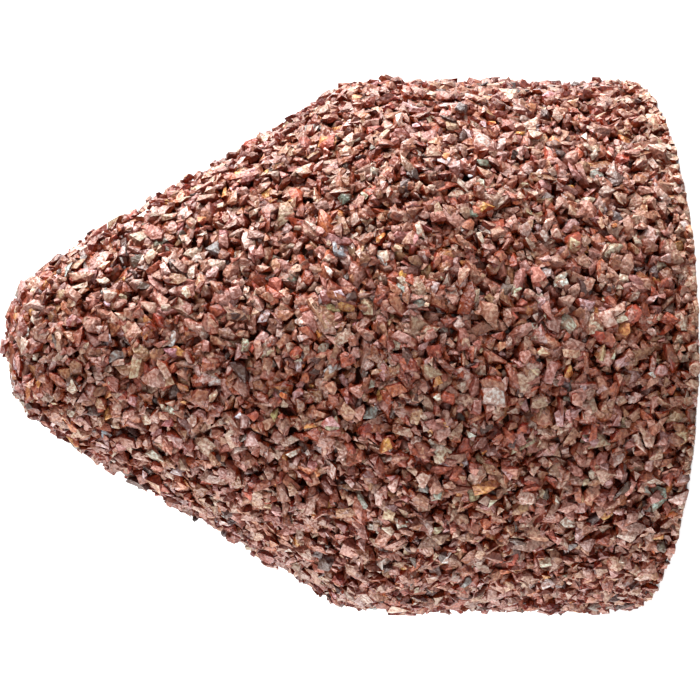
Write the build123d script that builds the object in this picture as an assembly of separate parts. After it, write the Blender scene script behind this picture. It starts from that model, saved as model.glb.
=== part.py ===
"""Abrasive cap: a seamless, thimble-shaped sanding cap with a 60 degree cone, a round nose and an open foot.

One bonded piece: stiff resin-filled cloth drawn into a cup, with coarse brown grain set in resin all over its
outside. The hollow follows the outside at an even wall, and slips over a soft holder of the same form.
Frame: origin in the middle of the open rim, +Z along the axis towards the nose, in millimetres.
"""

from build123d import *

import math
import os
import random

# Outer form, measured over the tips of the grain
BODY_DIAMETER = 13.0
BODY_HEIGHT = 7.0  # rim to the sharp corner that the shoulder rounds off
CONE_ANGLE = 60.0  # between the two sides of the cone
SHOULDER_RADIUS = 1.8
NOSE_RADIUS = 2.5

# Wall
CLOTH = 0.5  # drawn cloth and the resin in it
COAT = 0.45  # resin and grain, up to the tips

# Grain, as a field of tips and of hollows between them
GRAIN_PITCH = 0.37  # from one tip or hollow to the next
GRAIN_RELIEF = 0.3  # from the deepest hollow to the highest tip
GRAIN_WANDER = 0.3  # how far a point strays from its place in its ring, as a share of the pitch
TIP_SHARE = 0.55  # of the points, how many are tips
TIP_UNEVEN = 0.35  # how much tips, or hollows, differ in height, as a share of the relief
GRAIN_SEED = 11

HALF_CONE = math.radians(CONE_ANGLE / 2)
RING_STEP = math.sin(math.radians(60))  # rings of even triangles lie this share of the pitch apart
FULL_TURN = 2 * math.pi


def meridian(inset):
    """Half section of the cap's form, `inset` below the grain tips, from the rim to the axis."""
    body = BODY_DIAMETER / 2 - inset
    nose = NOSE_RADIUS - inset
    shoulder = SHOULDER_RADIUS - inset
    corner = BODY_HEIGHT - inset * math.tan(HALF_CONE / 2)
    nose_centre = BODY_HEIGHT + BODY_DIAMETER / 2 / math.tan(HALF_CONE) - NOSE_RADIUS / math.sin(HALF_CONE)
    setback = shoulder * math.tan(HALF_CONE / 2)
    bend_start = (body, corner - setback)
    bend_end = (body - setback * math.sin(HALF_CONE), corner + setback * math.cos(HALF_CONE))
    nose_start = (nose * math.cos(HALF_CONE), nose_centre + nose * math.sin(HALF_CONE))
    side = Line((body, 0), bend_start)
    bend = TangentArc(bend_start, bend_end, tangent=side % 1)
    slope = Line(bend_end, nose_start)
    tip = TangentArc(nose_start, (0, nose_centre + nose), tangent=slope % 1)
    return Wire([side, bend, slope, tip])


def hollow():
    """The inside, which a holder of the same form fills."""
    inside = meridian(CLOTH + COAT)
    axis = Line(inside @ 1, (0, 0))
    mouth = Line((0, 0), inside @ 0)
    section = make_face(Wire([*inside.edges(), axis, mouth]))
    return revolve(Plane.XZ * section, Axis.Z)


def grain_depth(chance):
    """How far one point lies below the highest tips: a tip lies high, a hollow low, and no two alike."""
    spread = TIP_UNEVEN * chance.random()
    is_tip = chance.random() < TIP_SHARE
    return GRAIN_RELIEF * (spread if is_tip else 1 - spread)


def grain_ring(outline, ring, rings, chance):
    """One ring of points over the outside, as pairs of an angle and a place. The first ring lies on the rim."""
    on_rim = ring == 0
    around = round(FULL_TURN * outline.position_at(ring / rings).X / GRAIN_PITCH)
    points = []
    for step in range(around):
        stray = 0 if on_rim else chance.uniform(-GRAIN_WANDER, GRAIN_WANDER)
        along = (ring + stray) / rings
        turned = step + ring % 2 / 2 + chance.uniform(-GRAIN_WANDER, GRAIN_WANDER)
        angle = FULL_TURN * turned / around
        surface = outline.position_at(along)
        tangent = outline.tangent_at(along)
        depth = grain_depth(chance)
        radius = surface.X - depth * tangent.Y
        height = 0 if on_rim else surface.Y + depth * tangent.X
        points.append((angle, Vector(radius * math.cos(angle), radius * math.sin(angle), height)))
    return points


def facets_between(low, high):
    """Triangles between two rings of unlike counts. Each uses the next point of the ring that lags behind."""
    low_next = low[1:] + [(low[0][0] + FULL_TURN, low[0][1])]
    high_next = high[1:] + [(high[0][0] + FULL_TURN, high[0][1])]
    at_low, at_high = low[0][1], high[0][1]
    facets = []
    while low_next or high_next:
        if not high_next or (low_next and low_next[0][0] < high_next[0][0]):
            following = low_next.pop(0)[1]
            facets.append((at_low, following, at_high))
            at_low = following
        else:
            following = high_next.pop(0)[1]
            facets.append((at_low, following, at_high))
            at_high = following
    return facets


def grain_body():
    """Solid inside the grain's faceted face, closed by a flat foot at the cut rim."""
    chance = random.Random(GRAIN_SEED)
    outline = meridian(0)
    count = round(outline.length / (GRAIN_PITCH * RING_STEP))
    rings = [grain_ring(outline, ring, count, chance) for ring in range(count)]
    facets = [facet for low, high in zip(rings, rings[1:]) for facet in facets_between(low, high)]
    rim = [point for _, point in rings[0]]
    last = [point for _, point in rings[-1]]
    nose_tip = Vector(0, 0, (outline @ 1).Y)
    facets += [(point, following, nose_tip) for point, following in zip(last, last[1:] + last[:1])]
    faces = [Face(Wire.make_polygon(facet)) for facet in facets]
    foot = Face(Wire.make_polygon(rim))
    return Solid(Shell([*faces, foot]))


os.makedirs("parts", exist_ok=True)
cap = grain_body() - hollow()
cap.label = "abrasive_cap"
export_step(cap, "parts/abrasive_cap.step")
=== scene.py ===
import math
import random

import bmesh
import bpy
import numpy as np
from mathutils import Matrix, Vector, noise
from mathutils.bvhtree import BVHTree


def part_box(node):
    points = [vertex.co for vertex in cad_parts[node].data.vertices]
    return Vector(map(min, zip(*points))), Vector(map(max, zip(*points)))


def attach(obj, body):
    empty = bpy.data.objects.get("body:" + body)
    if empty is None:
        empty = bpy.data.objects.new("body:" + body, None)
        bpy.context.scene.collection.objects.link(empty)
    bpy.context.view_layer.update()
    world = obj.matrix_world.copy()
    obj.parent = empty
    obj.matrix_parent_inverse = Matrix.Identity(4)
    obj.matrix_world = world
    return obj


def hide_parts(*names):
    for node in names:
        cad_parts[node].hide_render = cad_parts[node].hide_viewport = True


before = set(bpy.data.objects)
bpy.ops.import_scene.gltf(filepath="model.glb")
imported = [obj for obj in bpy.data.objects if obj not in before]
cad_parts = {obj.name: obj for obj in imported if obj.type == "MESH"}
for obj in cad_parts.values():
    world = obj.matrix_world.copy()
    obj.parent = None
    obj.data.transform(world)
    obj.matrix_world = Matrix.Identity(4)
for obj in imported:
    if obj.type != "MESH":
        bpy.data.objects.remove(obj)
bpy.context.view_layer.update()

# Cloth cup. Strong cotton cloth, filled with resin and drawn into a seamless cup, then cut square at the foot.
# It carries the cap's form: a straight side, a rounded shoulder, a 60 degree cone and a round nose. Its weave
# shows on the inside, where the holder goes.
MILLIMETRE = 0.001
cap_low, cap_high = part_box("abrasive_cap")
CAP_HEIGHT = cap_high.z
BODY_RADIUS = (cap_high.x - cap_low.x) / 2
HALF_CONE = math.radians(30)
SHOULDER_RADIUS = 1.8 * MILLIMETRE
NOSE_RADIUS = 2.5 * MILLIMETRE
NOSE_CENTRE = CAP_HEIGHT - NOSE_RADIUS
CORNER_HEIGHT = NOSE_CENTRE + NOSE_RADIUS / math.sin(HALF_CONE) - BODY_RADIUS / math.tan(HALF_CONE)
# How far up the outline from the rim each stretch of it ends
SIDE_END = CORNER_HEIGHT - SHOULDER_RADIUS * math.tan(HALF_CONE / 2)
SHOULDER_END = SIDE_END + SHOULDER_RADIUS * HALF_CONE
CONE_FOOT_RADIUS = BODY_RADIUS - SHOULDER_RADIUS * (1 - math.cos(HALF_CONE))
CONE_FOOT_HEIGHT = SIDE_END + SHOULDER_RADIUS * math.sin(HALF_CONE)
CONE_END = SHOULDER_END + (CONE_FOOT_RADIUS - NOSE_RADIUS * math.cos(HALF_CONE)) / math.sin(HALF_CONE)
OUTLINE_END = CONE_END + NOSE_RADIUS * (math.pi / 2 - HALF_CONE)

# How far below the tips of the grain the cloth's two faces lie
CLOTH_OUTSIDE = 0.45 * MILLIMETRE
CLOTH_INSIDE = 0.95 * MILLIMETRE
THREADS_AROUND = 90
THREAD_PITCH = 2 * math.pi * (BODY_RADIUS - CLOTH_INSIDE) / THREADS_AROUND
THREAD_RELIEF = 0.06 * MILLIMETRE
THREAD_WAVE = 0.45  # of a thread's height, how much it gains over other threads and loses under them
STEPS_PER_THREAD = 4
HIDDEN_ROWS = 60  # of faces, up a side of the cup that doesn't show
RIM_ROWS = 4
THREAD_COLOUR = (0.42, 0.235, 0.12)
THREAD_GAP_COLOUR = (0.075, 0.028, 0.012)

MERGE_REACH = 0.001 * MILLIMETRE
AXIS_REACH = 0.01 * MILLIMETRE  # how near the axis a vertex counts as on it
LAYOUT_TURNS = 1.02  # that the layout is wide, as faces that cross the seam reach a little past one turn


def wall_at(along, inset=0.0):
    """Radius, height and lean of the wall, `along` metres up its outline and `inset` inside it."""
    if along < SIDE_END:
        lean, radius, height = 0, BODY_RADIUS, along
    elif along < SHOULDER_END:
        lean = (along - SIDE_END) / SHOULDER_RADIUS
        radius = BODY_RADIUS - SHOULDER_RADIUS * (1 - math.cos(lean))
        height = SIDE_END + SHOULDER_RADIUS * math.sin(lean)
    elif along < CONE_END:
        lean = HALF_CONE
        radius = CONE_FOOT_RADIUS - (along - SHOULDER_END) * math.sin(HALF_CONE)
        height = CONE_FOOT_HEIGHT + (along - SHOULDER_END) * math.cos(HALF_CONE)
    else:
        lean = HALF_CONE + (along - CONE_END) / NOSE_RADIUS
        radius = NOSE_RADIUS * math.cos(lean)
        height = NOSE_CENTRE + NOSE_RADIUS * math.sin(lean)
    return radius - inset * math.cos(lean), height - inset * math.sin(lean), lean


def turned_cup(outside, inside, outside_rows, inside_rows, rim_rows, around):
    """A closed cup between two insets, spun about the axis.

    Each vertex keeps how far round its section it lies: 0 at the nose outside, 1 at the nose inside.
    """
    cup = bmesh.new()
    station = cup.verts.layers.float.new("station")
    section = [wall_at(OUTLINE_END * (1 - row / outside_rows), outside)[:2] for row in range(outside_rows + 1)]
    section += [(BODY_RADIUS - outside - (inside - outside) * row / rim_rows, 0) for row in range(1, rim_rows)]
    section += [wall_at(OUTLINE_END * row / inside_rows, inside)[:2] for row in range(inside_rows + 1)]
    line = []
    for number, (radius, height) in enumerate(section):
        line.append(cup.verts.new((max(radius, 0), 0, height)))
        line[-1][station] = number / (len(section) - 1)
    edges = [cup.edges.new(pair) for pair in zip(line, line[1:])]
    bmesh.ops.spin(
        cup, geom=line + edges, axis=(0, 0, 1), cent=(0, 0, 0),
        angle=2 * math.pi, steps=around, use_merge=True,
    )
    bmesh.ops.remove_doubles(cup, verts=cup.verts[:], dist=MERGE_REACH)
    bmesh.ops.recalc_face_normals(cup, faces=cup.faces[:])
    cup.normal_update()
    return cup, station


def lay_out_cup(cup, station):
    """Unrolls a spun cup flat: across is the way round the axis, and up is the way round its section."""
    flat = cup.loops.layers.uv.new("OFBake")
    for face in cup.faces:
        turns = [math.atan2(loop.vert.co.y, loop.vert.co.x) / (2 * math.pi) % 1 for loop in face.loops]
        off_axis = [turn for turn, loop in zip(turns, face.loops) if loop.vert.co.xy.length > AXIS_REACH]
        crosses_seam = max(off_axis) - min(off_axis) > 0.5
        for turn, loop in zip(turns, face.loops):
            if loop.vert.co.xy.length <= AXIS_REACH:
                turn = off_axis[0]
            if crosses_seam and turn < 0.5:
                turn += 1
            loop[flat].uv = (turn / LAYOUT_TURNS, loop.vert[station])


def finished(name, shape, material):
    """Turns a mesh under construction into a finished piece of the cap."""
    mesh = bpy.data.meshes.new(name)
    shape.to_mesh(mesh)
    shape.free()
    mesh.materials.append(material)
    piece = bpy.data.objects.new(name, mesh)
    bpy.context.scene.collection.objects.link(piece)
    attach(piece, "root")
    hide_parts("abrasive_cap")
    return piece


def weave_height(across, along):
    """Height of a plain weave, from 0 to 1, at a place told in threads.

    Each thread goes over one and under one.
    """
    steady = 1 - THREAD_WAVE
    warp_wave = THREAD_WAVE * math.cos(math.pi * (round(across) + along))
    weft_wave = THREAD_WAVE * math.cos(math.pi * (across + round(along)))
    warp = abs(math.cos(math.pi * across)) * (steady + warp_wave)
    weft = abs(math.cos(math.pi * along)) * (steady - weft_wave)
    return max(warp, weft)


def new_material(name):
    """A new material, its node tree, and its shader."""
    material = bpy.data.materials.new(name)
    material.use_nodes = True
    return material, material.node_tree, material.node_tree.nodes["Principled BSDF"]


def pattern_on(tree, kind, scale):
    """A pattern that keeps its place on the object."""
    where = tree.nodes.new("ShaderNodeTexCoord")
    pattern = tree.nodes.new(kind)
    pattern.inputs["Scale"].default_value = scale
    tree.links.new(where.outputs["Object"], pattern.inputs["Vector"])
    return pattern


def kept_as(tree, name):
    """What the piece's mesh keeps under a name."""
    kept = tree.nodes.new("ShaderNodeAttribute")
    kept.attribute_name = name
    return kept


def times_plus(tree, first, factor, second):
    """One value times a number, plus another value."""
    total = tree.nodes.new("ShaderNodeMath")
    total.operation = "MULTIPLY_ADD"
    total.inputs[1].default_value = factor
    tree.links.new(first, total.inputs[0])
    tree.links.new(second, total.inputs[2])
    return total.outputs["Value"]


def colour_over(tree, value, low_at, low_colour, high_at, high_colour):
    """A colour that goes from one to another as a value rises."""
    ramp = tree.nodes.new("ShaderNodeValToRGB")
    for stop, place, colour in zip(ramp.color_ramp.elements, (low_at, high_at), (low_colour, high_colour)):
        stop.position = place
        stop.color = (*colour, 1)
    tree.links.new(value, ramp.inputs["Fac"])
    return ramp.outputs["Color"]


def bumped(tree, height, strength, distance):
    """A bump that follows a height."""
    bump = tree.nodes.new("ShaderNodeBump")
    bump.inputs["Strength"].default_value = strength
    bump.inputs["Distance"].default_value = distance
    tree.links.new(height, bump.inputs["Height"])
    return bump


cloth_rows = round(OUTLINE_END / THREAD_PITCH) * STEPS_PER_THREAD
cloth_around = THREADS_AROUND * STEPS_PER_THREAD
rows_before_inside = HIDDEN_ROWS + RIM_ROWS
cup, station = turned_cup(CLOTH_OUTSIDE, CLOTH_INSIDE, HIDDEN_ROWS, cloth_rows, RIM_ROWS, cloth_around)
first_inside = rows_before_inside / (rows_before_inside + cloth_rows)
thread_top = cup.verts.layers.float.new("thread_top")
for vert in cup.verts:
    along = (vert[station] - first_inside) * (rows_before_inside + cloth_rows) / STEPS_PER_THREAD
    across = math.atan2(vert.co.y, vert.co.x) / (2 * math.pi) * THREADS_AROUND
    vert[thread_top] = weave_height(across, along) if along > 0 else 1
    vert.co -= vert.normal * THREAD_RELIEF * (1 - vert[thread_top])
lay_out_cup(cup, station)

cloth, tree, shader = new_material("resin_filled_cloth")
shader.inputs["Roughness"].default_value = 0.62
fibres = pattern_on(tree, "ShaderNodeTexNoise", 9000)
fibres.inputs["Detail"].default_value = 4
fibre_height = times_plus(tree, fibres.outputs["Fac"], 0.5, kept_as(tree, "thread_top").outputs["Fac"])
thread_shade = colour_over(tree, fibre_height, 0.35, THREAD_GAP_COLOUR, 1.0, THREAD_COLOUR)
tree.links.new(thread_shade, shader.inputs["Base Color"])
fuzz = bumped(tree, fibres.outputs["Fac"], 0.5, 0.02 * MILLIMETRE)
tree.links.new(fuzz.outputs["Normal"], shader.inputs["Normal"])
finished("cloth_cup", cup, cloth)

# Resin coat. Dark phenolic resin, laid over the cloth in two coats, which holds the foot of every grain. It
# has run up against the grains unevenly, and is the dark, slightly glossy floor of the gaps between them.
RESIN_DEPTH = 0.4 * MILLIMETRE  # of its face, below the tips of the grain
RESIN_SINK = 0.01 * MILLIMETRE  # of the coat's hidden back, into the cloth
RESIN_UNEVEN = 0.04 * MILLIMETRE
RESIN_LUMP = 0.4 * MILLIMETRE
RESIN_STEP = 0.17 * MILLIMETRE
RESIN_RIM_ROWS = 1
RESIN_RED = (0.070, 0.014, 0.005)
RESIN_BROWN = (0.040, 0.022, 0.012)

resin_rows = round(OUTLINE_END / RESIN_STEP)
resin_around = round(2 * math.pi * BODY_RADIUS / RESIN_STEP)
resin_back = CLOTH_OUTSIDE + RESIN_SINK
coat, station = turned_cup(RESIN_DEPTH, resin_back, resin_rows, HIDDEN_ROWS, RESIN_RIM_ROWS, resin_around)
last_outside = resin_rows / (resin_rows + HIDDEN_ROWS + RESIN_RIM_ROWS)
for vert in coat.verts:
    if vert[station] < last_outside:
        vert.co += vert.normal * RESIN_UNEVEN * noise.noise(vert.co / RESIN_LUMP)
lay_out_cup(coat, station)

resin, tree, shader = new_material("dark_resin")
shader.inputs["Roughness"].default_value = 0.25
shader.inputs["Specular IOR Level"].default_value = 0.2
pools = pattern_on(tree, "ShaderNodeTexNoise", 1400)
resin_shade = colour_over(tree, pools.outputs["Fac"], 0.4, RESIN_RED, 0.75, RESIN_BROWN)
tree.links.new(resin_shade, shader.inputs["Base Color"])
finished("resin_coat", coat, resin)

# Grain. Crushed aluminium oxide of one sieve size, strewn over the wet resin and cured in, as deep as the wall
# is coated. Each crystal is a chunk, a splinter or a flake with flat breaks: the hull of a few corners, less
# what planes break off it. The resin film that wets their feet, with painted shade down in the gaps, leaves
# those dark and red.
GRAIN_SEED = 7
TEMPLATES = 48  # different crystals of each layer
# Corners, breaks, and the least and most length, width and thickness of each kind, in grain sizes
CRYSTAL_KINDS = [
    (10, 2, (1.15, 1.45), (1.0, 1.25), (0.8, 1.05)),
    (9, 2, (1.3, 1.65), (0.95, 1.2), (0.6, 0.8)),
    (9, 1, (1.5, 1.95), (0.8, 1.05), (0.55, 0.75)),
]
BED_KIND = (8, 0, (1.2, 1.6), (0.9, 1.2), (0.7, 1.0))
FRAGMENT_KIND = (6, 0, (1.3, 1.7), (0.9, 1.2), (0.7, 1.0))
BLOCKINESS = 0.8  # from 0, corners on a stretched ball, to 1, corners on a box
BREAK_DEPTHS = (0.4, 0.8)  # where a break lies, between a crystal's middle at 0 and its outside at 1
LEAST_VOLUME = 0.33  # of one crystal, in grain sizes cubed

# Colours of single grains, each with its share of them
GRAIN_COLOURS = [
    (40, (0.287, 0.121, 0.077)),
    (20, (0.350, 0.190, 0.139)),
    (17, (0.210, 0.069, 0.034)),
    (10, (0.245, 0.066, 0.030)),
    (6, (0.250, 0.046, 0.019)),
    (1.8, (0.400, 0.150, 0.040)),
    (0.2, (0.300, 0.200, 0.095)),
    (1.8, (0.420, 0.310, 0.255)),
    (1.3, (0.140, 0.104, 0.080)),
    (3, (0.070, 0.025, 0.015)),
]
TONE_SPREAD = 0.20  # how much lighter or darker one grain is than its like, as a share
HUE_SPREAD = 0.078  # how much more or less of red, of green and of blue one grain has, as a share
TONE_POWERS = (0.75, 1.1, 1.2)  # for red, green and blue, so that dark grains are redder than light ones
CLUMP_SPREAD = 0.45  # how much lighter or darker a whole patch of grains is, at most
CLUMP_SIZE = 0.75 * MILLIMETRE
DUST_AND_LIGHT_COLOUR = (0.42, 0.24, 0.15)  # colour of the pale dust that the cut has left on the grains near the rim, and of the painted light where it reaches higher on the key lamp's side
DUST_AND_LIGHT_HEIGHT = 0.75 * MILLIMETRE
PAINTED_LIGHT_LEAN = 0.9  # how much higher the dust reaches on the key lamp's side of the rim, as painted light, and lower on the other, as a share
MOTTLE_DARK, MOTTLE_LIGHT = (0.62, 0.44, 0.38), (1.16, 1.38, 1.50)  # what spots on a grain do to its colour
PAINTED_SHADE_FACING_IN, PAINTED_LIGHT_FACING_OUT = (0.50, 0.11, 0.035), (1.02, 1.14, 1.20)  # what a facet's way does to its colour: painted shade, darker and redder, on a facet that faces inwards, and painted light, paler, on one that faces outwards
# Colours of the resin film at the grains' feet, which is also painted shade deep in the gaps: where it starts,
# and deepest down
FILM_AND_SHADE_THIN, FILM_AND_SHADE_DEEP = (0.24, 0.036, 0.007), (0.088, 0.008, 0.001)
FILM_AND_SHADE_EDGE = 0.09  # in millimetres, how far over the solid's face the film and its painted shade start, and under it they are whole
FILM_AND_SHADE_UNEVEN = 0.16  # how much further down the film and its painted shade start on the lightest spots, in millimetres
GLOSSIEST, DULLEST = 0.17, 0.42

# Of each layer: from one grain to the next, the size of one, and how far under the solid's face its tip lies
BED = (0.24 * MILLIMETRE, 0.30 * MILLIMETRE, 0.10 * MILLIMETRE)
TOP = (0.265 * MILLIMETRE, 0.34 * MILLIMETRE, -0.09 * MILLIMETRE)
CHIPS = (0.32 * MILLIMETRE, 0.18 * MILLIMETRE, -0.05 * MILLIMETRE)
CUT_EDGE = (0.12 * MILLIMETRE, 0.28 * MILLIMETRE, -0.02 * MILLIMETRE)
CUT_EDGE_WIDTH = 0.1 * MILLIMETRE
CUT_EDGE_DEEPEST = 0.05 * MILLIMETRE  # that its grains sink into the hollows of the solid's grain face
RING_STEP = math.sin(math.radians(60))  # rings of even triangles lie this share of the pitch apart
WANDER_ALONG, WANDER_AROUND = 0.6, 0.5  # how far a grain strays from its place, as a share of the pitch
SIZE_SPREAD, LEAST_SIZE, MOST_SIZE = 0.30, 0.5, 1.5  # of single grains, as shares of their layer's size
TIP_UNEVEN = 0.038 * MILLIMETRE
SETTLING = 2  # of how many ways to lie a crystal takes the lowest
TALLEST = 0.43 * MILLIMETRE  # from a crystal's root to its tip, so that no root comes through the cloth
CUT_HEIGHT = 0.005 * MILLIMETRE  # of the cut through the grain over the cloth's own cut
EDGE_SOFTNESS = 0.38  # how far a facet's shading bends towards a ball's, as on a worn edge
PROBE = MILLIMETRE  # how far outside and inside the outline the solid's face is looked for
MISSED_DEPTH = 0.15 * MILLIMETRE  # of that face, where it isn't found, as over the rim

LAYOUT_REACH = 0.46  # of its square in the layout, how far a grain reaches from the middle
ASKEW = (0.3, 0.5, 0.81)  # a direction that gives each square its way round
NO_LENGTH, NO_SIDEWAYS = 1e-9, 1e-6  # stand in for zero where something is divided by them

colour_shares = [share for share, colour in GRAIN_COLOURS]
colour_values = [colour for share, colour in GRAIN_COLOURS]
chance = random.Random(GRAIN_SEED)
solid_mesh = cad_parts["abrasive_cap"].data
to_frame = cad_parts["abrasive_cap"].matrix_world
solid_corners = [to_frame @ vert.co for vert in solid_mesh.vertices]
solid_face = BVHTree.FromPolygons(solid_corners, [face.vertices[:] for face in solid_mesh.polygons])


def any_direction():
    """A unit vector, any way with equal chance."""
    return Vector([chance.gauss(0, 1) for axis in range(3)]).normalized()


def break_off(crystal, place, way):
    """Breaks off what of a crystal lies beyond a plane, and closes the break."""
    whole = crystal.verts[:] + crystal.edges[:] + crystal.faces[:]
    made = bmesh.ops.bisect_plane(crystal, geom=whole, plane_co=place, plane_no=way, clear_outer=True)
    ring = [part for part in made["geom_cut"] if isinstance(part, bmesh.types.BMEdge)]
    bmesh.ops.contextual_create(crystal, geom=ring)


def made_of_triangles(crystal, name):
    """Divides a crystal into triangles that face outwards, and gives it as a mesh."""
    bmesh.ops.triangulate(crystal, faces=crystal.faces[:])
    bmesh.ops.recalc_face_normals(crystal, faces=crystal.faces[:])
    mesh = bpy.data.meshes.new(name)
    crystal.to_mesh(mesh)
    return mesh


def crushed(corners, breaks, length, width, thickness):
    """One crystal: a hull of corners scattered on a rounded block, less what flat breaks take off."""
    crystal = bmesh.new()
    stretch = Vector((chance.uniform(*length), chance.uniform(*width), chance.uniform(*thickness))) / 2
    for corner in range(corners):
        way = any_direction()
        crystal.verts.new(way * stretch / max(abs(part) for part in way) ** BLOCKINESS)
    hull = bmesh.ops.convex_hull(crystal, input=crystal.verts[:])
    inner = hull["geom_interior"] + hull["geom_unused"]
    loose = [part for part in inner if isinstance(part, bmesh.types.BMVert)]
    bmesh.ops.delete(crystal, geom=loose, context="VERTS")
    for number in range(breaks):
        way = any_direction()
        reach = max(way.dot(vert.co) for vert in crystal.verts)
        break_off(crystal, way * reach * chance.uniform(*BREAK_DEPTHS), way)
    mesh = made_of_triangles(crystal, "crystal_template")
    fullness = crystal.calc_volume()
    crystal.free()
    return mesh if fullness > LEAST_VOLUME else crushed(corners, breaks, length, width, thickness)


def put_in(band, crystal):
    """Adds a crystal to a band, cut flush where it would stand out of the rim.

    Gives how many corners it adds.
    """
    before = len(band.verts)
    lowest = min(vert.co.z for vert in crystal.vertices)
    if lowest >= CUT_HEIGHT:
        band.from_mesh(crystal)
        return len(crystal.vertices)
    cut = bmesh.new()
    cut.from_mesh(crystal)
    break_off(cut, Vector((0, 0, CUT_HEIGHT)), Vector((0, 0, -1)))
    trimmed = made_of_triangles(cut, "cut_crystal")
    cut.free()
    band.from_mesh(trimmed)
    bpy.data.meshes.remove(trimmed)
    return len(band.verts) - before


def times_colour(tree, first, second):
    """One colour times another."""
    product = tree.nodes.new("ShaderNodeMix")
    product.data_type = "RGBA"
    product.blend_type = "MULTIPLY"
    product.inputs["Factor"].default_value = 1
    tree.links.new(first, product.inputs["A"])
    tree.links.new(second, product.inputs["B"])
    return product.outputs["Result"]


crystals = [crushed(*CRYSTAL_KINDS[number % len(CRYSTAL_KINDS)]) for number in range(TEMPLATES)]
plain_crystals = [crushed(*BED_KIND) for number in range(TEMPLATES)]
fragments = [crushed(*FRAGMENT_KIND) for number in range(TEMPLATES)]

grain, tree, shader = new_material("crushed_grain")
shader.inputs["IOR"].default_value = 1.5
shader.inputs["Specular IOR Level"].default_value = 0.4
# Its own colour, with spots, and with painted shade, darker and redder, on the facets that face inwards, and
# painted light, paler, on those that face outwards
own_colour = kept_as(tree, "grain_colour")
mottle = pattern_on(tree, "ShaderNodeTexNoise", 13000)
mottle.inputs["Detail"].default_value = 3
mottle_shade = colour_over(tree, mottle.outputs["Fac"], 0.40, MOTTLE_DARK, 0.62, MOTTLE_LIGHT)
mottled = times_colour(tree, own_colour.outputs["Color"], mottle_shade)
painted_facet_shading = colour_over(tree, kept_as(tree, "faces_out").outputs["Fac"], 0.3, PAINTED_SHADE_FACING_IN, 0.95, PAINTED_LIGHT_FACING_OUT)
dry_colour = times_colour(tree, mottled, painted_facet_shading)

# The resin film with painted shade, whole over the foot and with an uneven edge
uneven_depth = times_plus(tree, mottle.outputs["Fac"], -FILM_AND_SHADE_UNEVEN, kept_as(tree, "depth_mm").outputs["Fac"])
film_and_shade = tree.nodes.new("ShaderNodeMapRange")
film_and_shade.interpolation_type = "SMOOTHSTEP"
film_and_shade.inputs["From Min"].default_value = -FILM_AND_SHADE_EDGE
film_and_shade.inputs["From Max"].default_value = FILM_AND_SHADE_EDGE
tree.links.new(uneven_depth, film_and_shade.inputs["Value"])
film_and_shade_colour = colour_over(tree, film_and_shade.outputs["Result"], 0.45, FILM_AND_SHADE_THIN, 1.0, FILM_AND_SHADE_DEEP)
wetted_and_shaded = tree.nodes.new("ShaderNodeMix")
wetted_and_shaded.data_type = "RGBA"
tree.links.new(film_and_shade.outputs["Result"], wetted_and_shaded.inputs["Factor"])
tree.links.new(dry_colour, wetted_and_shaded.inputs["A"])
tree.links.new(film_and_shade_colour, wetted_and_shaded.inputs["B"])
tree.links.new(wetted_and_shaded.outputs["Result"], shader.inputs["Base Color"])

# Its gloss, and the small steps and pits of its breaks
gloss = tree.nodes.new("ShaderNodeMapRange")
gloss.inputs["To Min"].default_value = GLOSSIEST
gloss.inputs["To Max"].default_value = DULLEST
tree.links.new(own_colour.outputs["Alpha"], gloss.inputs["Value"])
tree.links.new(gloss.outputs["Result"], shader.inputs["Roughness"])
small_breaks = pattern_on(tree, "ShaderNodeTexVoronoi", 9000)
steps = bumped(tree, small_breaks.outputs["Distance"], 0.6, 0.05 * MILLIMETRE)
pits = bumped(tree, mottle.outputs["Fac"], 0.9, 0.04 * MILLIMETRE)
tree.links.new(steps.outputs["Normal"], pits.inputs["Normal"])
tree.links.new(pits.outputs["Normal"], shader.inputs["Normal"])


def own_tint(place):
    """The colour of one grain, and its gloss.

    It is a common colour, made lighter or darker and a little warmer or cooler, with dust near the rim, and
    painted light where that reaches higher on the key lamp's side.
    """
    tone = chance.lognormvariate(0, TONE_SPREAD) * (1 + CLUMP_SPREAD * noise.noise(place / CLUMP_SIZE))
    common = chance.choices(colour_values, colour_shares)[0]
    own = []
    for channel, power in zip(common, TONE_POWERS):
        own.append(channel * tone ** power * chance.lognormvariate(0, HUE_SPREAD))
    dust_and_light_reach = DUST_AND_LIGHT_HEIGHT * (1 + PAINTED_LIGHT_LEAN * place.x / BODY_RADIUS)
    dust_and_light = max(0, 1 - place.z / dust_and_light_reach) * chance.random()
    own = [channel + (pale_tint - channel) * dust_and_light for channel, pale_tint in zip(own, DUST_AND_LIGHT_COLOUR)]
    return [min(1, channel) for channel in own] + [chance.random()]


def coat_depth(on_outline, way):
    """How far the solid's own grain face, with its tips and hollows, lies inside the outline at one place."""
    hit = solid_face.ray_cast(on_outline + way * PROBE, -way, 2 * PROBE)[0]
    return (on_outline - hit).dot(way) if hit else MISSED_DEPTH


def settled(crystal, way):
    """How a crystal comes to lie, the lowest of a few chance ways.

    Gives its turn, how tall it is, and how far its tip stands out from its middle.
    """
    tries = [any_direction().rotation_difference(any_direction()) for number in range(SETTLING)]
    reaches = [[way.dot(turned @ vert.co) for vert in crystal.vertices] for turned in tries]
    heights = [max(reach) - min(reach) for reach in reaches]
    lowest = heights.index(min(heights))
    return tries[lowest], heights[lowest], max(reaches[lowest])


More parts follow.
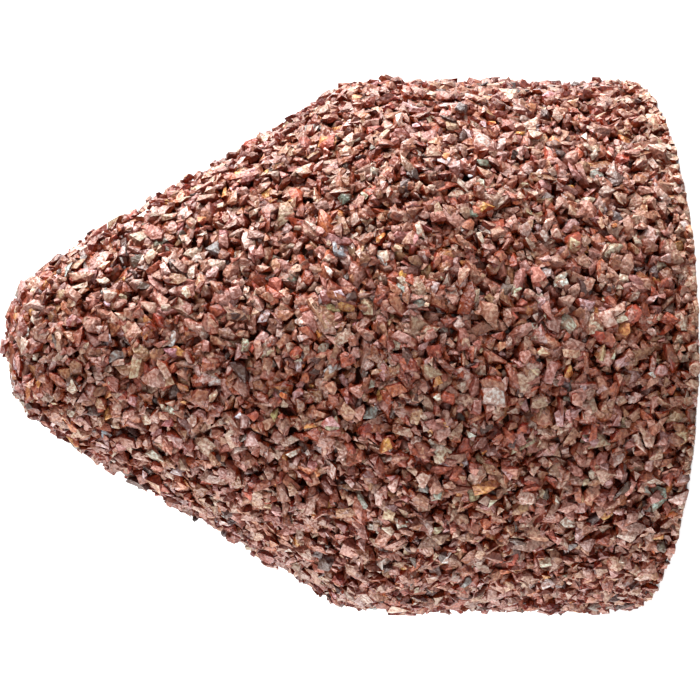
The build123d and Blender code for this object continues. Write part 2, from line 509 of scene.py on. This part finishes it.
def lay_out_grains(mesh, owner, away, outward):
    """Gives each grain its own square of the layout, opened up from the side that faces outwards."""
    squares = math.ceil(math.sqrt(owner[-1] + 1))
    across = np.cross(outward, ASKEW)
    across /= np.linalg.norm(across, axis=1)[:, None]
    up = np.cross(outward, across)
    ray = away / np.maximum(np.linalg.norm(away, axis=1), NO_LENGTH)[:, None]
    facing = (ray * outward[owner]).sum(axis=1)
    sideways = (ray * across[owner]).sum(axis=1)
    upwards = (ray * up[owner]).sum(axis=1)
    turned_away = np.sqrt(np.clip((1 - facing) / 2, 0, 1))
    reach = LAYOUT_REACH * turned_away / np.maximum(np.hypot(sideways, upwards), NO_SIDEWAYS)
    column, row = owner % squares, owner // squares
    spot = np.column_stack((column + 0.5 + sideways * reach, row + 0.5 + upwards * reach))
    corners = np.empty(len(mesh.loops), np.int32)
    mesh.loops.foreach_get("vertex_index", corners)
    laid = (spot / squares)[corners].reshape(-1, 3, 2)
    side_a, side_b = laid[:, 1] - laid[:, 0], laid[:, 2] - laid[:, 0]
    turned_over = side_a[:, 0] * side_b[:, 1] < side_a[:, 1] * side_b[:, 0]
    laid[turned_over] = laid[turned_over][:, :1]
    mesh.uv_layers.new(name="OFBake").data.foreach_set("uv", laid.astype(np.float32).ravel())


def dress(mesh, corner_counts, middles, outward, insets, tints):
    """Gives a band what its material reads, the shading of worn edges, and its layout."""
    owner = np.repeat(np.arange(len(corner_counts)), corner_counts)
    corners = np.empty(len(mesh.vertices) * 3, np.float32)
    mesh.vertices.foreach_get("co", corners)
    away = corners.reshape(-1, 3) - np.array(middles)[owner]
    outward = np.array(outward)
    sunk = (np.array(insets)[owner] - (away * outward[owner]).sum(axis=1)) / MILLIMETRE
    mesh.attributes.new("depth_mm", "FLOAT", "POINT").data.foreach_set("value", sunk.astype(np.float32))
    normals = np.empty(len(mesh.polygons) * 3, np.float32)
    mesh.polygons.foreach_get("normal", normals)
    first_corner = np.empty(len(mesh.polygons), np.int32)
    corner_of_loop = np.empty(len(mesh.loops), np.int32)
    mesh.polygons.foreach_get("loop_start", first_corner)
    mesh.loops.foreach_get("vertex_index", corner_of_loop)
    faces_out = (normals.reshape(-1, 3) * outward[owner[corner_of_loop[first_corner]]]).sum(axis=1)
    mesh.attributes.new("faces_out", "FLOAT", "FACE").data.foreach_set("value", faces_out.astype(np.float32))
    painted = mesh.attributes.new("grain_colour", "FLOAT_COLOR", "POINT")
    painted.data.foreach_set("color", np.array(tints, np.float32)[owner].ravel())
    round_normals = away / np.maximum(np.linalg.norm(away, axis=1), NO_LENGTH)[:, None]
    flat_normals = np.repeat(normals.reshape(-1, 3), 3, axis=0)
    soft = flat_normals * (1 - EDGE_SOFTNESS) + round_normals[corner_of_loop] * EDGE_SOFTNESS
    mesh.normals_split_custom_set(soft / np.linalg.norm(soft, axis=1)[:, None])
    lay_out_grains(mesh, owner, away, outward)


def strew(name, shapes, start, end, pitch, size, tip, deepest=math.inf):
    """Strews crystals over a band of the wall, with their tips about `tip` below the solid's grain face.

    They follow that face into its hollows, but no deeper than `deepest` inside the outline.
    """
    band = bmesh.new()
    corner_counts, middles, outward, insets, tints = [], [], [], [], []
    rings = max(1, round((end - start) / (pitch * RING_STEP)))
    for ring in range(rings):
        here = start + (end - start) * (ring + 0.5) / rings
        around = max(1, round(2 * math.pi * wall_at(here)[0] / pitch))
        phase = chance.random()
        for step in range(around):
            along = min(max(here + chance.uniform(-WANDER_ALONG, WANDER_ALONG) * pitch, 0), OUTLINE_END)
            turn = 2 * math.pi * (step + phase + chance.uniform(-WANDER_AROUND, WANDER_AROUND)) / around
            radius, height, lean = wall_at(along)
            way = Vector((math.cos(lean) * math.cos(turn), math.cos(lean) * math.sin(turn), math.sin(lean)))
            on_outline = Vector((radius * math.cos(turn), radius * math.sin(turn), height))
            crystal = chance.choice(shapes)
            turned, tallness, stands_out = settled(crystal, way)
            wanted = size * min(max(chance.lognormvariate(0, SIZE_SPREAD), LEAST_SIZE), MOST_SIZE)
            own_size = min(wanted, TALLEST / tallness)
            inset = chance.gauss(tip, TIP_UNEVEN) + stands_out * own_size
            middle = on_outline - way * (min(coat_depth(on_outline, way), deepest) + inset)
            pose = Matrix.LocRotScale(middle, turned, Vector((own_size, own_size, own_size)))
            crystal.transform(pose)
            corner_counts.append(put_in(band, crystal))
            crystal.transform(pose.inverted())
            middles.append(middle)
            outward.append(way)
            insets.append(inset)
            tints.append(own_tint(middle))
    piece = finished(name, band, grain)
    dress(piece.data, corner_counts, middles, outward, insets, tints)


SIDE_MIDDLE = 0.5 * SIDE_END
CONE_START = SHOULDER_END + 1.5 * MILLIMETRE  # where the cone's band takes over from the shoulder's
BANDS = {
    "grain_rim_half": (0, SIDE_MIDDLE),
    "grain_side_half": (SIDE_MIDDLE, SIDE_END),
    "grain_shoulder": (SIDE_END, CONE_START),
    "grain_cone": (CONE_START, CONE_END),
    "grain_nose": (CONE_END, OUTLINE_END),
}
for name, (start, end) in BANDS.items():
    strew(name + "_bed", plain_crystals, start, end, *BED)
    strew(name, crystals, start, end, *TOP)
    strew(name + "_chips", fragments, start, end, *CHIPS)
strew("grain_cut_edge", crystals, 0, CUT_EDGE_WIDTH, *CUT_EDGE, CUT_EDGE_DEEPEST)

# Studio. A white table, and a long lens that looks at the cap from a little towards its nose, rolled so that
# the nose points left. One large lamp stands to each side of the cap, the stronger one at the picture's top.
CAMERA_LEAN = math.radians(14)
CAMERA_DISTANCE = 0.4
BODY_DIAMETER = 13 * MILLIMETRE  # over the highest tips of the grain
# In pixels of the photo
PICTURE_WIDTH = 700
BODY_WIDTH = 531.2
MIDDLE_X, MIDDLE_Y = 319.1, 346.3  # of the cap
TABLE_REACH = 2
TABLE_GLOW = 0.45  # added to what the lamps give, so that the table is white and keeps a shadow

cap_middle = Vector((0, 0, CAP_HEIGHT / 2))
pixel = BODY_DIAMETER / BODY_WIDTH
to_camera = Vector((0, -math.cos(CAMERA_LEAN), math.sin(CAMERA_LEAN)))
picture_up = Vector((1, 0, 0))
picture_right = picture_up.cross(to_camera)
aim = cap_middle + picture_right * (PICTURE_WIDTH / 2 - MIDDLE_X) * pixel
aim -= picture_up * (PICTURE_WIDTH / 2 - MIDDLE_Y) * pixel
camera = bpy.data.objects.new("camera", bpy.data.cameras.new("camera"))
bpy.context.scene.collection.objects.link(camera)
turned = Matrix((picture_right, picture_up, to_camera)).transposed()
camera.matrix_world = Matrix.LocRotScale(aim + to_camera * CAMERA_DISTANCE, turned.to_quaternion(), None)
camera.data.lens = camera.data.sensor_width * CAMERA_DISTANCE / (PICTURE_WIDTH * pixel)
camera.data.clip_start = 0.01
camera.data.clip_end = 10
bpy.context.scene.camera = camera


def softbox(name, place, size, power):
    """A square area lamp that faces the middle of the cap."""
    lamp = bpy.data.lights.new(name, "AREA")
    lamp.size = size
    lamp.energy = power
    stand = bpy.data.objects.new(name, lamp)
    bpy.context.scene.collection.objects.link(stand)
    aimed = (Vector(place) - cap_middle).to_track_quat("Z", "Y")
    stand.matrix_world = Matrix.LocRotScale(Vector(place), aimed, None)


softbox("key", (0.20, 0.02, 0.03), 0.34, 4.55)
softbox("fill", (-0.19, 0.02, 0.055), 0.30, 1.7)

world = bpy.data.worlds.new("studio")
bpy.context.scene.world = world
world.use_nodes = True
world.node_tree.nodes["Background"].inputs["Color"].default_value = (1, 1, 1, 1)
world.node_tree.nodes["Background"].inputs["Strength"].default_value = 0.37

table = bmesh.new()
bmesh.ops.create_grid(table, x_segments=1, y_segments=1, size=TABLE_REACH)
table_mesh = bpy.data.meshes.new("table_top")
table.to_mesh(table_mesh)
table.free()
table_top = bpy.data.objects.new("table_top", table_mesh)
bpy.context.scene.collection.objects.link(table_top)
paper, tree, shader = new_material("white_paper")
shader.inputs["Base Color"].default_value = (0.5, 0.5, 0.5, 1)
shader.inputs["Roughness"].default_value = 0.9
shader.inputs["Emission Color"].default_value = (1, 1, 1, 1)
# The glow shows straight, in a mirror and through glass, and lights nothing else
light_path = tree.nodes.new("ShaderNodeLightPath")
shown = light_path.outputs["Is Camera Ray"]
for ray in ("Is Glossy Ray", "Is Transmission Ray"):
    either = tree.nodes.new("ShaderNodeMath")
    tree.links.new(shown, either.inputs[0])
    tree.links.new(light_path.outputs[ray], either.inputs[1])
    shown = either.outputs["Value"]
glow = tree.nodes.new("ShaderNodeMath")
glow.operation = "MULTIPLY"
glow.inputs[1].default_value = TABLE_GLOW
tree.links.new(shown, glow.inputs[0])
tree.links.new(glow.outputs["Value"], shader.inputs["Emission Strength"])
table_mesh.materials.append(paper)

bpy.context.scene.view_settings.view_transform = "Standard"
